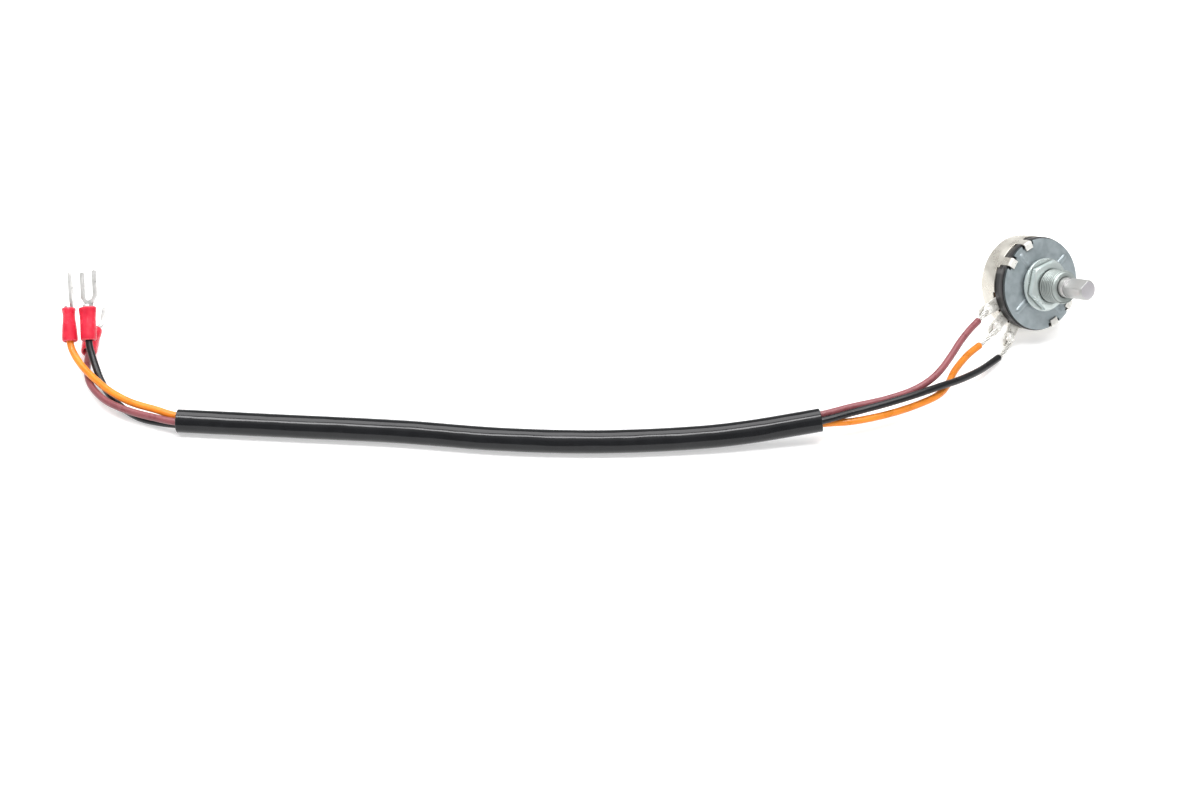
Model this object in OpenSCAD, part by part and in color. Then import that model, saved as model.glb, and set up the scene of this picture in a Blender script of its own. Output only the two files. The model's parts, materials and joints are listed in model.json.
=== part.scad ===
// Rotary potentiometer with three leads, a cable sleeve and crimped fork terminals.
// It lies as it comes to rest: on the rear rim of its can and on the sleeve of its leads.
// The potentiometer is drawn about its own shaft: the front plate's face is at height 0,
// the shaft points to +Z and the solder lugs to -Y. The module seated() lays it down.

/* [Placement] */
// Rise of the shaft above the surface, in degrees
shaft_rise = 27; // [22:0.5:32]
// Turn of the body about its shaft, in degrees
body_turn = 28; // [20:0.5:34]

/* [Can] */
// Outer diameter of the can
can_d = 28; // [28:0.1:32]
// Depth of the can's back below the front plate's face
can_depth = 11; // [10.8:0.1:15]
// Thickness of the can's sheet
can_wall = 0.5; // [0.35:0.05:0.6]
// Rounding of the can's rear rim
can_round = 0.8; // [0.7:0.1:1.2]
// Height of the pressed centre of the can's back
dimple_h = 0.45; // [0.3:0.05:0.6]
// Radius of the pressed centre of the can's back
dimple_r = 2.5; // [1.5:0.1:4]
// Direction of a pair of folded tabs, from the square across the lugs, in degrees
pair_angle = -3; // [-6:0.5:6]
// Half angle of each raised stretch of the can's edge, in degrees
ear_half = 26; // [24:1:30]
// Height of each raised stretch of the can's edge
ear_h = 1; // [0.5:0.1:1.5]
// Width of a folded tab
tab_w = 2.6; // [2:0.1:3.2]
// Angle between a folded tab and the middle of its pair, in degrees
tab_angle = 17; // [16:0.5:18]
// Reach of a folded tab over the front plate
tab_reach = 2.3; // [1.6:0.1:2.6]

/* [Front plate] */
// Diameter of the front plate
plate_d = 27.4; // [27.2:0.1:27.6]
// Thickness of the front plate
plate_t = 1; // [0.8:0.1:1.4]
// Diameter of the plate's raised centre
boss_d = 13.6; // [12.6:0.1:14.8]
// Height of the plate's raised centre
boss_h = 1.6; // [0.8:0.1:2.2]
// Width of a pressed rib
rib_w = 2; // [1.4:0.1:2.6]
// Height of a pressed rib
rib_h = 0.5; // [0.3:0.05:0.6]
// Distance from the shaft's axis to the outer end of a rib
rib_reach = 12.4; // [11:0.1:12.8]
// Width of a rim notch that a tab passes through
notch_w = 4.2; // [3.6:0.1:4.8]
// Depth of a rim notch
notch_depth = 1.3; // [0.9:0.1:1.6]

/* [Bushing, washer and nut] */
// Outer diameter of the bushing's thread
thread_d = 10; // [9:0.1:10.6]
// Pitch of the bushing's thread
thread_pitch = 0.75; // [0.7:0.05:1]
// Length of the bushing in front of the plate
bushing_len = 11; // [7:0.5:14]
// Diameter of the bushing's flange behind the plate
flange_d = 13.6; // [12:0.1:15]
// Thickness of the bushing's flange
flange_t = 1.2; // [1:0.1:1.5]
// Outer diameter of the washer
washer_d = 15.8; // [15.2:0.1:18]
// Thickness of the washer
washer_t = 0.8; // [0.5:0.1:1.2]
// Width of the nut across its flats
nut_flats = 13; // [12.5:0.1:15]
// Thickness of the nut
nut_t = 2.3; // [1.8:0.1:3.2]
// Turn of the nut, in degrees
nut_turn = 4; // [0:1:59]

/* [Shaft] */
// Diameter of the shaft
shaft_d = 6; // [5:0.1:6.35]
// Height of the shaft's tip above the plate's face
shaft_tip = 21; // [18:0.1:30]
// Length of the flat at the tip
flat_len = 7.6; // [4:0.1:9]
// Depth of the flat
flat_depth = 0.75; // [0.4:0.05:0.75]
// Direction that the flat faces, in degrees
flat_angle = 177; // [0:1:359]
// Chamfer of the shaft's tip
tip_chamfer = 0.5; // [0.2:0.1:0.8]
// Width of the turned groove at the flat's start
nick_w = 0.6; // [0.4:0.05:0.8]
// Depth of the turned groove at the flat's start
nick_depth = 0.25; // [0.2:0.05:0.4]
// Depth of the grease neck between the shaft's bearing lands
neck_depth = 0.25; // [0.2:0.05:0.4]
// Length of the bearing land at the bushing's front
front_land = 0.6; // [0.5:0.1:1]
// Length of the bearing land at the bushing's rear
rear_land = 3; // [2:0.5:5]

/* [Base and lugs] */
// Height of the moulded base between plate and can edge
base_h = 3.7; // [3.4:0.1:4.2]
// Diameter of the base's barrel
base_d = 27.3; // [27.2:0.1:27.6]
// Height of the base's front rim
rim_h = 1.3; // [0.8:0.1:2]
// Distance that the front rim stands out from the barrel
rim_out = 0.35; // [0.1:0.05:0.5]
// Thickness of a solder lug
lug_t = 0.5; // [0.4:0.1:0.6]
// Width of a solder lug at the base
lug_w = 4; // [3.2:0.1:4.4]
// Distance from the shaft's axis to the tip of a lug
lug_reach = 21; // [20.2:0.1:23]
// Distance from the shaft's axis to the middle of a lug's eyelet
eyelet_at = 17.6; // [17.3:0.1:18]
// Diameter of a lug's eyelet
eyelet_d = 2.2; // [1.8:0.1:2.4]
// Angle between neighbouring lugs, in degrees
lug_pitch = 20.5; // [20:0.5:22]

/* [Track and wiper] */
// Thickness of the card that carries the track
card_t = 0.8; // [0.6:0.1:1]
// Thickness of the resistance film
film_t = 0.1; // [0.08:0.01:0.15]
// Outer diameter of the resistance track
track_d = 22; // [21.4:0.1:22.4]
// Width of the resistance track
track_w = 2.2; // [2:0.1:2.4]
// Outer diameter of the collector ring
collector_d = 14; // [13.6:0.1:14.6]
// Width of the collector ring
collector_w = 1.8; // [1.6:0.1:2]
// Thickness of the collector ring
collector_t = 0.3; // [0.2:0.05:0.4]
// Height of the outer brush
brush_h = 1.45; // [1.2:0.05:1.7]
// Thickness of the wiper spring
spring_t = 0.3; // [0.2:0.05:0.4]
// Thickness of the wiper carrier
carrier_t = 1.4; // [1.2:0.1:1.6]
// Turn of the shaft to each side of its middle, in degrees
turn_limit = 150; // [135:1:155]

/* [Leads and sleeve] */
// Outer diameter of a lead's insulation
wire_d = 2.1; // [1.8:0.1:2.2]
// Diameter of a lead's tinned conductor
conductor_d = 0.9; // [0.7:0.05:1]
// Outer diameter of the cable sleeve
sleeve_d = 6.8; // [6.8:0.1:7.4]
// Wall of the cable sleeve
sleeve_wall = 0.5; // [0.3:0.05:0.6]

/* [Fork terminals] */
// Length of a red insulator
insulator_len = 10; // [9:0.1:12]
// Overall length of a terminal with its insulator
terminal_len = 21; // [20:0.1:24]
// Thickness of the fork's sheet
fork_t = 0.8; // [0.6:0.1:1]
// Width of the fork across both prongs
fork_w = 5.7; // [5.4:0.1:6.4]
// Width of the fork's slot
slot_w = 3.4; // [3.2:0.1:3.6]
// Outer diameter of the crimped barrel
barrel_d = 2.6; // [2.3:0.1:2.8]

/* [Hidden] */
$fn = 72;

// Small clearances
fit_gap = 0.05;
slip_gap = 0.15;
stop_gap = 0.5;
over = 1;

// Radii that several pieces share
can_corner = 0.3;
can_r = can_d / 2;
can_in = can_r - can_wall;
plate_r = plate_d / 2;
base_r = base_d / 2;
shaft_r = shaft_d / 2;
thread_r = thread_d / 2;
pitch_r = thread_r - 0.325 * thread_pitch;
wire_r = wire_d / 2;
conductor_r = conductor_d / 2;

// Directions of the two pairs of folded tabs
pair_sides = [pair_angle, pair_angle + 180];

// Heights along the shaft, from the front plate's face backwards
z_plate = -plate_t;
z_edge = z_plate - base_h;
z_card = z_edge - lug_t;
z_card_back = z_card - card_t;
z_film = z_card_back - film_t;
z_collector = z_card_back - collector_t;
z_spring = z_film - fit_gap - brush_h;
z_carrier = z_spring - spring_t;
z_carrier_back = z_carrier - carrier_t;
z_back = -can_depth;
z_shaft_end = z_back + can_wall + dimple_h + fit_gap;
z_flange = z_plate - flange_t;

// Washer and nut on the plate's raised centre, which widens towards the plate
boss_flare = 0.4;
rib_root = 0.5;
thread_chamfer = 0.4;
z_washer = boss_h;
z_nut = z_washer + washer_t;

// Retaining ring behind the bushing
ring_t = 0.8;
ring_w = 2;
groove_depth = 0.5;
z_ring = z_flange - 2 * fit_gap;

// Base: web at its rear, hollow in front of it
web_t = 1;
base_hollow_r = flange_d / 2 + 1.6;
web_hole_r = shaft_r - groove_depth + ring_w + 0.7;
spigot_r = can_in - slip_gap;

// Lugs, rivets and pads
lug_angles = [-90 - lug_pitch, -90, -90 + lug_pitch];
rivet_at = spigot_r - 1.2;
rivet_r = 0.75;
rivet_head_r = 1.05;
rivet_head_t = 0.4;
pad_margin = 0.2;
lug_tip_r = 1.8;
lug_inner_r = 1.5;
lug_shoulder = can_r + 0.9;
lug_waist = lug_shoulder + 1.5;
notch_half = lug_pitch + 15;
notch_drop = lug_t + 0.2;

// Wiper: brush on the track, brush on the collector ring, lobe that meets the stop
brush_r = 0.9;
inner_brush_r = 0.7;
track_mid = (track_d - track_w) / 2;
collector_mid = (collector_d - collector_w) / 2;
hub_r = shaft_r + 0.6;
hub_h = 0.9;
carrier_r = collector_mid + 1;
stop_half = 12;
stop_side = 3;
stop_out = can_in - 0.8;
stop_clear = 0.3;
lobe_half = 180 - turn_limit - stop_half - stop_gap;
lobe_reach = can_in - 0.9;
stop_in = can_in - 4;
z_stop = z_carrier - stop_clear;
peg_r = 0.45;
peg_at = hub_r + 1;
peg_rise = 0.3;
leaf_r = peg_at + 0.9;
hub_clear = 0.4;

// Where the potentiometer lies: its outline is centred on the origin and touches the surface
lean = 90 - shaft_rise;
reach_front = (shaft_tip * sin(lean)) + (shaft_r - tip_chamfer) * cos(lean);
reach_back = (can_depth - can_round) * sin(lean) + (can_r - can_round) * cos(lean) + can_round;
reach_side = lug_reach;
plate_centre = [
    (reach_back - reach_front) / 2,
    (reach_side - can_r) / 2,
    can_round + (can_depth - can_round) * cos(lean) + (can_r - can_round) * sin(lean)
];

// Route of the sleeve, from the potentiometer to the terminals
sleeve_route = [
    [2, -81.5, 6.8], [-2, -89.5, 5.7], [-7, -100, 4.6], [-13.5, -112.5, 3.8], [-28, -137, 3.4],
    [-44.5, -160, 3.4], [-63, -182, 3.4], [-82, -206.5, 3.4], [-102.5, -233, 3.4]
];

// Routes of the leads from the lugs to the sleeve: maroon, orange, black
pot_routes = [
    [
        [-3.8, -18.6, 11.7], [-2.3, -23, 11.4], [0, -28.5, 10.9], [3.2, -35, 10], [5.8, -41, 9.2],
        [7, -46, 8.5], [7, -51.5, 7.7], [5.8, -60, 7.4], [2.8, -71.5, 7.4]
    ],
    [
        [-0.5, -20, 5.2], [0.3, -24, 5], [1.6, -28, 4.8], [4.4, -34, 4.7], [8, -39.5, 4.7],
        [10, -44.5, 4.7], [10.3, -51, 4.8], [9.2, -61, 4.9], [6.2, -72.8, 5.2]
    ],
    [
        [4, -16, 1.8], [5.2, -20.5, 2.2], [7, -26.5, 3.4], [9, -35.5, 5.6],
        [9.9, -44, 7.6], [9.6, -53.3, 8.4], [8, -62, 8.2], [5.5, -72, 7.8]
    ]
];

// Routes of the leads from the sleeve to the terminals: maroon, orange, black
end_routes = [
    [
        [-107, -238, 3.8], [-112, -241.4, 3.5], [-117, -244.3, 3.4], [-122.3, -246.3, 3.2],
        [-127.5, -247, 3], [-132.5, -246.8, 2.8], [-137.7, -245.4, 2.7], [-142.5, -243.2, 2.7]
    ],
    [
        [-109.4, -236.5, 4.4], [-116.5, -241.2, 4.5], [-124, -244.1, 4.7], [-130.3, -245.4, 4.9],
        [-136.5, -246.2, 5.1], [-140.3, -246.4, 5.5], [-143, -246.4, 6.1], [-145.2, -246.3, 7.1]
    ],
    [
        [-107.7, -237.4, 1.3], [-112, -240.4, 1.1], [-117, -242.3, 1.1], [-122.7, -243.3, 1.1],
        [-128, -243.6, 1.4], [-133, -243.3, 2.4], [-136.6, -242.8, 3.9], [-139.8, -242.3, 5.9],
        [-142, -241.9, 7.6]
    ]
];

// Wire end of each terminal, its heading, its rise and the roll of its fork, in degrees
terminals = [
    [[-146.5, -241, 2.7], 149.5, 3, 90],
    [[-147, -245.9, 8.5], 152, 42, 0],
    [[-143.7, -241.3, 9.1], 152, 42, 58]
];

// The three leads lie in a triangle inside the sleeve and turn once by a third of a turn
bundle_r = 1.5;
bundle_start = [30, -90, 150];
bundle_twist = 120;

// Terminal: half widths and half thicknesses of the insulator at heights along it
insulator_shape = [
    [0, 2.2, 2.05], [0.08, 2.35, 2.3], [0.3, 2.45, 2.2], [0.5, 2.5, 2.05], [0.65, 2.6, 1.85],
    [0.8, 2.8, 1.8], [0.92, 2.9, 1.95], [1, 2.85, 2.05]
];
// Bare conductor at a lug: straight start, length of its bent end and start of its bend
hook_root = 0.8;
hook_reach = 2.1;
hook_bend = 1;

// Terminal: mouth for the wire and the crimped barrel
mouth_r = wire_r + 0.4;
wire_depth = 3.8;
barrel_start = 4;
barrel_end = insulator_len + 0.8;
barrel_floor = insulator_len - 0.5;

// Fork's tongue: it starts just past the insulator, in line with the barrel's wall
tongue_start = insulator_len + fit_gap;
tongue_drop = (barrel_d - fork_t) / 2;
neck_w = 2.2;
shoulder_drop = 0.6;
prong_w = (fork_w - slot_w) / 2;
slot_start = insulator_len + 2.2;
shoulder_z = slot_start + slot_w / 2;

tin = "#d9d6cf";
zinc = "#9aa3a6";
bright_zinc = "#c9d3d1";
steel = "#bdbdba";
phenolic = "#3a3836";
brown_card = "#6b4a2c";
carbon = "#202022";
brass = "#c8a858";
solder = "#e4e4e0";
maroon = "#9c5560";
orange = "#f9923c";
black = "#3a3a3e";
red = "#e8324a";
lead_colours = [maroon, orange, black];

// Points in the lying frame from points in the potentiometer's own frame
function turned(p, a) = [p.x * cos(a) - p.y * sin(a), p.x * sin(a) + p.y * cos(a), p.z];
function leaned(p) = [p.x * cos(lean) + p.z * sin(lean), p.y, p.z * cos(lean) - p.x * sin(lean)];
function seat(p) = leaned(turned(p, body_turn)) + plate_centre;
function polar(r, a, z) = [r * cos(a), r * sin(a), z];

// Direction of a terminal and a point at a height along it
function heading(t) = [cos(t[1]) * cos(t[2]), sin(t[1]) * cos(t[2]), sin(t[2])];
function along(t, z) = t[0] + z * heading(t);

// Direction of a route at one of its points, and a ring of points about it
function step_at(p, i) = p[min(i + 1, len(p) - 1)] - p[max(i - 1, 0)];
function ahead(p, i) = step_at(p, i) / norm(step_at(p, i));
function level(t) = cross(t, [0, 0, 1]) / norm(cross(t, [0, 0, 1]));
function offset_at(t, r, a) = r * (cos(a) * level(t) + sin(a) * cross(level(t), t));
function ring(p, i, r, n) = [
    for (k = [0:n - 1]) p[i] + offset_at(ahead(p, i), r, k * 360 / n - 90)
];
function rings(p, r, n) = [for (i = [0:len(p) - 1]) ring(p, i, r, n)];

// Path of one lead inside the sleeve
function inside(k) = [
    for (i = [0:len(sleeve_route) - 1])
        sleeve_route[i] + offset_at(ahead(sleeve_route, i), bundle_r,
            bundle_start[k] + bundle_twist * i / (len(sleeve_route) - 1))
];
function lead_route(k) = concat(pot_routes[k], inside(k), end_routes[k],
    [along(terminals[k], 0), along(terminals[k], wire_depth)]);

// Path of one bare conductor: along the lug's face, through the eyelet and back behind it
function hook(k) = let (a = lug_angles[k], f = z_edge + conductor_r + fit_gap,
    b = z_card - conductor_r - fit_gap) [
    pot_routes[k][0],
    pot_routes[k][0] - hook_root * ahead(pot_routes[k], 0),
    seat(polar(eyelet_at + hook_reach, a, f + slip_gap)),
    seat(polar(eyelet_at + hook_bend, a, f)),
    seat(polar(eyelet_at, a, (f + b) / 2)),
    seat(polar(eyelet_at, a, b)),
    seat(polar(eyelet_at + hook_reach, a, b))
];

// Closed skin through rings that all have the same number of points
module skin(loops) {
    n = len(loops[0]);
    last = len(loops) - 1;
    polyhedron(
        points = [for (l = loops) each l],
        faces = concat(
            [[for (k = [0:n - 1]) n - 1 - k], [for (k = [0:n - 1]) last * n + k]],
            [
                for (i = [0:last - 1], k = [0:n - 1], half = [0, 1])
                    let (a = i * n + k, b = i * n + (k + 1) % n)
                    half == 0 ? [a, b, a + n] : [b, b + n, a + n]
            ]
        )
    );
}

// Ring with a rectangular section, over an angle about the middle of a sector
module band(r_in, r_out, z0, z1, mid = 0, half = 180) {
    rotate_extrude(angle = 2 * half, start = mid - half)
        translate([r_in, z0])
            square([r_out - r_in, z1 - z0]);
}

module seated() {
    translate(plate_centre)
        rotate([0, lean, 0])
            rotate([0, 0, body_turn])
                children();
}

module at_terminal(k) {
    t = terminals[k];
    translate(t[0])
        rotate([0, 90 - t[2], t[1]])
            rotate([0, 0, t[3]])
                children();
}

// Repeats its children at the four tabs
module at_tabs() {
    for (side = pair_sides, a = [-tab_angle, tab_angle])
        rotate([0, 0, side + a])
            children();
}

// Can: drawn cup
module can_shell() {
    rotate_extrude()
        difference() {
            union() {
                translate([0, z_back])
                    square([can_r - can_round, z_edge - z_back]);
                translate([0, z_back + can_round])
                    square([can_r, z_edge - z_back - can_round]);
                translate([can_r - can_round, z_back + can_round])
                    circle(can_round);
            }
            translate([0, z_back + can_wall])
                square([can_in - can_corner, z_edge - z_back]);
            translate([0, z_back + can_wall + can_corner])
                square([can_in, z_edge - z_back]);
            translate([-can_round, z_back - over])
                square([can_round, z_edge - z_back + 2 * over]);
        }
}

// Tab: it rises from the can's edge and folds over the front plate
module tab() {
    intersection() {
        rotate_extrude(angle = 40, start = -20)
            polygon([
                [can_in, z_edge], [can_r, z_edge], [can_r, -0.1],
                for (a = [15:15:75]) [can_r - can_wall + can_wall * cos(a), can_wall * sin(a)],
                [can_r - can_wall, can_wall], [can_r - tab_reach, can_wall],
                [can_r - tab_reach, 0], [can_in, 0]
            ]);
        translate([0, -tab_w / 2, z_edge - over])
            cube([can_r + over, tab_w, can_wall - z_edge + 2 * over]);
    }
}

// Hollow of the stop, which is pressed in from behind
module stop_hollow() {
    band(stop_in + can_wall, stop_out, z_back - over, z_stop - can_wall, -90,
        stop_half - stop_side);
}

module back_can() {
    color(tin) seated() {
        difference() {
            can_shell();
            translate([0, 0, z_back - over])
                cylinder(h = over + dimple_h, r = dimple_r);
            band(can_in - over, can_r + over, z_edge - notch_drop, z_edge + over, -90, notch_half);
            stop_hollow();
        }
        translate([0, 0, z_back + dimple_h])
            cylinder(h = can_wall, r = dimple_r + can_wall);
        difference() {
            band(stop_in, can_in, z_back + can_wall, z_stop, -90, stop_half);
            stop_hollow();
        }
        for (side = pair_sides)
            band(can_in, can_r, z_edge, z_edge + ear_h, side, ear_half);
        at_tabs() tab();
    }
}

// Front plate: raised centre, four pressed ribs and four rim notches
module plate_rib() {
    crown_r = (rib_w * rib_w / 4 + rib_h * rib_h) / (2 * rib_h);
    intersection() {
        translate([0, 0, rib_h - crown_r]) {
            rotate([0, 90, 0])
                cylinder(h = rib_reach - rib_w / 2, r = crown_r);
            translate([rib_reach - rib_w / 2, 0, 0])
                sphere(crown_r);
        }
        translate([boss_d / 2 - rib_root, -rib_w, z_plate / 2])
            cube([rib_reach, 2 * rib_w, plate_t]);
    }
}

module front_plate() {
    color(zinc) seated()
        difference() {
            union() {
                translate([0, 0, z_plate])
                    cylinder(h = plate_t, r = plate_r);
                cylinder(h = boss_h, r1 = boss_d / 2 + boss_flare, r2 = boss_d / 2);
                for (a = [0:90:270])
                    rotate([0, 0, pair_angle + a])
                        plate_rib();
            }
            translate([0, 0, z_plate - over])
                cylinder(h = plate_t + boss_h + 2 * over, r = thread_r + fit_gap / 2);
            at_tabs()
                translate([plate_r - notch_depth, -notch_w / 2, z_plate - over])
                    cube([notch_depth + over, notch_w, plate_t + 2 * over]);
        }
}

// Bushing: where the nut engages, both threads are drawn at their pitch line
module bushing() {
    color(zinc) seated()
        difference() {
            union() {
                translate([0, 0, z_flange])
                    cylinder(h = flange_t, r = flange_d / 2);
                translate([0, 0, z_flange])
                    cylinder(h = bushing_len - thread_chamfer - z_flange, r = thread_r);
                translate([0, 0, bushing_len - thread_chamfer])
                    cylinder(h = thread_chamfer, r1 = thread_r, r2 = thread_r - thread_chamfer);
            }
            translate([0, 0, z_flange - over])
                cylinder(h = bushing_len - z_flange + 2 * over, r = shaft_r + fit_gap);
            band(pitch_r, thread_r + over, z_nut, z_nut + nut_t);
        }
}

module washer() {
    color(bright_zinc) seated()
        band(thread_r + slip_gap, washer_d / 2, z_washer, z_washer + washer_t);
}

module hex_nut() {
    corner_r = nut_flats / sqrt(3);
    bevel = (corner_r - nut_flats / 2) * 0.5;
    color(bright_zinc) seated()
        translate([0, 0, z_nut])
            difference() {
                intersection() {
                    rotate([0, 0, nut_turn])
                        cylinder(h = nut_t, r = corner_r, $fn = 6);
                    union() {
                        cylinder(h = bevel, r1 = nut_flats / 2, r2 = corner_r);
                        translate([0, 0, bevel])
                            cylinder(h = nut_t - 2 * bevel, r = corner_r);
                        translate([0, 0, nut_t - bevel])
                            cylinder(h = bevel, r1 = corner_r, r2 = nut_flats / 2);
                    }
                }
                translate([0, 0, -over])
                    cylinder(h = nut_t + 2 * over, r = pitch_r + fit_gap / 2);
            }
}

// Base: moulded ring with a web, a spigot inside the can and slots for the lugs
module phenolic_base() {
    color(phenolic) seated()
        difference() {
            union() {
                translate([0, 0, z_edge])
                    cylinder(h = base_h, r = base_r);
                translate([0, 0, z_plate - rim_h])
                    cylinder(h = rim_h, r = base_r + rim_out);
                translate([0, 0, z_card])
                    cylinder(h = lug_t, r = spigot_r);
            }
            translate([0, 0, z_edge + web_t])
                cylinder(h = base_h, r = base_hollow_r);
            translate([0, 0, z_card - over])
                cylinder(h = base_h, r = web_hole_r);
            for (side = pair_sides)
                band(can_in - fit_gap, can_r + over, z_edge - fit_gap, z_edge + ear_h + fit_gap,
                    side, ear_half + 0.5);
            at_tabs()
                translate([can_in - 2 * fit_gap, -tab_w / 2 - fit_gap, z_edge - over])
                    cube([can_wall + over, tab_w + 2 * fit_gap, base_h + 2 * over]);
            for (a = lug_angles)
                rotate([0, 0, a]) {
                    translate([rivet_at, -lug_w / 2 - fit_gap, z_card - over])
                        cube([can_r, lug_w + 2 * fit_gap, lug_t + over + fit_gap]);
                    translate([rivet_at, 0, z_card - over])
                        cylinder(h = lug_t + over + fit_gap, r = lug_inner_r + fit_gap);
                    translate([rivet_at, 0, z_edge - over])
                        cylinder(h = over + rivet_head_t + fit_gap, r = rivet_head_r + fit_gap);
                }
        }
}

// Card behind the base, with a hole for each rivet and one for the wiper's hub
module track_card() {
    color(brown_card) seated()
        difference() {
            translate([0, 0, z_card_back])
                cylinder(h = card_t, r = spigot_r);
            translate([0, 0, z_card_back - over])
                cylinder(h = card_t + 2 * over, r = hub_r + hub_clear);
            for (a = lug_angles)
                rotate([0, 0, a])
                    translate([rivet_at, 0, z_card_back - over])
                        cylinder(h = card_t + 2 * over, r = rivet_r + fit_gap / 2);
        }
}

module resistance_track() {
    pad_w = 2 * (rivet_head_r + pad_margin);
    color(carbon) seated()
        translate([0, 0, z_film])
            linear_extrude(film_t)
                difference() {
                    union() {
                        difference() {
                            circle(track_d / 2);
                            circle(track_d / 2 - track_w);
                            rotate(-90)
                                polygon([
                                    [0, 0], [can_d, can_d * tan(lug_pitch)],
                                    [can_d, -can_d * tan(lug_pitch)]
                                ]);
                        }
                        for (a = [lug_angles[0], lug_angles[2]])
                            rotate(a)
                                translate([track_d / 2 - track_w, -pad_w / 2])
                                    square([rivet_at + rivet_head_r - track_d / 2 + track_w, pad_w]);
                    }
                    for (a = lug_angles)
                        rotate(a)
                            translate([rivet_at, 0])
                                circle(rivet_r + fit_gap / 2);
                }
}

module collector_ring() {
    tongue_w = 1.6;
    color(brass) seated()
        translate([0, 0, z_collector])
            linear_extrude(collector_t)
                difference() {
                    union() {
                        circle(collector_d / 2);
                        translate([-tongue_w / 2, -rivet_at])
                            square([tongue_w, rivet_at - collector_mid]);
                        translate([0, -rivet_at])
                            circle(rivet_head_r);
                    }
                    circle(collector_d / 2 - collector_w);
                    translate([0, -rivet_at])
                        circle(rivet_r + fit_gap / 2);
                }
}

module lug_rivets() {
    color(brass) seated()
        for (k = [0:2]) {
            z_under = k == 1 ? z_collector : z_film;
            rotate([0, 0, lug_angles[k]])
                translate([rivet_at, 0, 0]) {
                    translate([0, 0, z_under - rivet_head_t])
                        cylinder(h = rivet_head_t, r = rivet_head_r);
                    translate([0, 0, z_under - rivet_head_t])
                        cylinder(h = z_edge - z_under + rivet_head_t, r = rivet_r);
                    translate([0, 0, z_edge])
                        cylinder(h = rivet_head_t, r = rivet_head_r);
                }
        }
}

// Solder lug: a strip with round ends, an eyelet at its tip and a rivet hole at its root
module lug(k) {
    color(tin) seated()
        rotate([0, 0, lug_angles[k]])
            translate([0, 0, z_card])
                linear_extrude(lug_t)
                    difference() {
                        union() {
                            translate([rivet_at, 0])
                                circle(lug_inner_r);
                            polygon([
                                [rivet_at, -lug_w / 2], [lug_shoulder, -lug_w / 2],
                                [lug_waist, -lug_tip_r], [lug_reach - lug_tip_r, -lug_tip_r],
                                [lug_reach - lug_tip_r, lug_tip_r], [lug_waist, lug_tip_r],
                                [lug_shoulder, lug_w / 2], [rivet_at, lug_w / 2]
                            ]);
                            translate([lug_reach - lug_tip_r, 0])
                                circle(lug_tip_r);
                        }
                        translate([eyelet_at, 0])
                            circle(eyelet_d / 2);
                        translate([rivet_at, 0])
                            circle(rivet_r + fit_gap / 2);
                    }
}

module lug_maroon() lug(0);

module lug_orange() lug(1);

module lug_black() lug(2);

// Solder: it fills each eyelet and stands in a low dome on both faces
module solder_joints() {
    dome_r = 1.45;
    dome_h = 0.75;
    ball_r = (dome_r * dome_r + dome_h * dome_h) / (2 * dome_h);
    color(solder) seated()
        for (a = lug_angles)
            rotate([0, 0, a])
                translate([eyelet_at, 0, 0]) {
                    translate([0, 0, z_card])
                        cylinder(h = lug_t, r = eyelet_d / 2);
                    intersection() {
                        translate([0, 0, z_edge + dome_h - ball_r])
                            sphere(ball_r);
                        translate([0, 0, z_edge])
                            cylinder(h = over, r = 2 * dome_r);
                    }
                    intersection() {
                        translate([0, 0, z_card - dome_h + ball_r])
                            sphere(ball_r);
                        translate([0, 0, z_card - over])
                            cylinder(h = over, r = 2 * dome_r);
                    }
                }
}

// Shaft: chamfered tip, flat for a knob that starts at a turned groove, grease neck, groove for the
// retaining ring
module shaft() {
    color(steel) seated()
        difference() {
            union() {
                translate([0, 0, z_shaft_end])
                    cylinder(h = shaft_tip - tip_chamfer - z_shaft_end, r = shaft_r);
                translate([0, 0, shaft_tip - tip_chamfer])
                    cylinder(h = tip_chamfer, r1 = shaft_r, r2 = shaft_r - tip_chamfer);
            }
            rotate([0, 0, flat_angle])
                translate([shaft_r - flat_depth, -shaft_d, shaft_tip - flat_len])
                    cube([shaft_d, 2 * shaft_d, flat_len + over]);
            band(shaft_r - groove_depth, shaft_r + over, z_ring - ring_t - fit_gap,
                z_ring + fit_gap);
            band(shaft_r - neck_depth, shaft_r + over, z_flange + rear_land,
                bushing_len - front_land);
            band(shaft_r - nick_depth, shaft_r + over, shaft_tip - flat_len - nick_w / 2,
                shaft_tip - flat_len + nick_w / 2);
        }
}

// Retaining ring: open on one side so that it snaps into the shaft's groove
module retaining_ring() {
    seat_r = shaft_r - groove_depth + fit_gap / 2;
    color(bright_zinc) seated()
        band(seat_r, seat_r + ring_w, z_ring - ring_t, z_ring, 90, 150);
}

// Carrier: disc and hub on the shaft, pegs for the spring, lobe that meets the stop
module wiper_carrier() {
    color(phenolic) seated()
        difference() {
            union() {
                translate([0, 0, z_carrier_back])
                    cylinder(h = carrier_t, r = carrier_r);
                translate([0, 0, z_carrier])
                    cylinder(h = hub_h, r = hub_r);
                for (x = [-peg_at, peg_at])
                    translate([x, 0, z_carrier])
                        cylinder(h = spring_t + peg_rise, r = peg_r);
                band(hub_r, lobe_reach, z_carrier_back, z_carrier, 90, lobe_half);
            }
            translate([0, 0, z_carrier_back - over])
                cylinder(h = carrier_t + hub_h + 2 * over, r = shaft_r + fit_gap / 2);
        }
}

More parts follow.
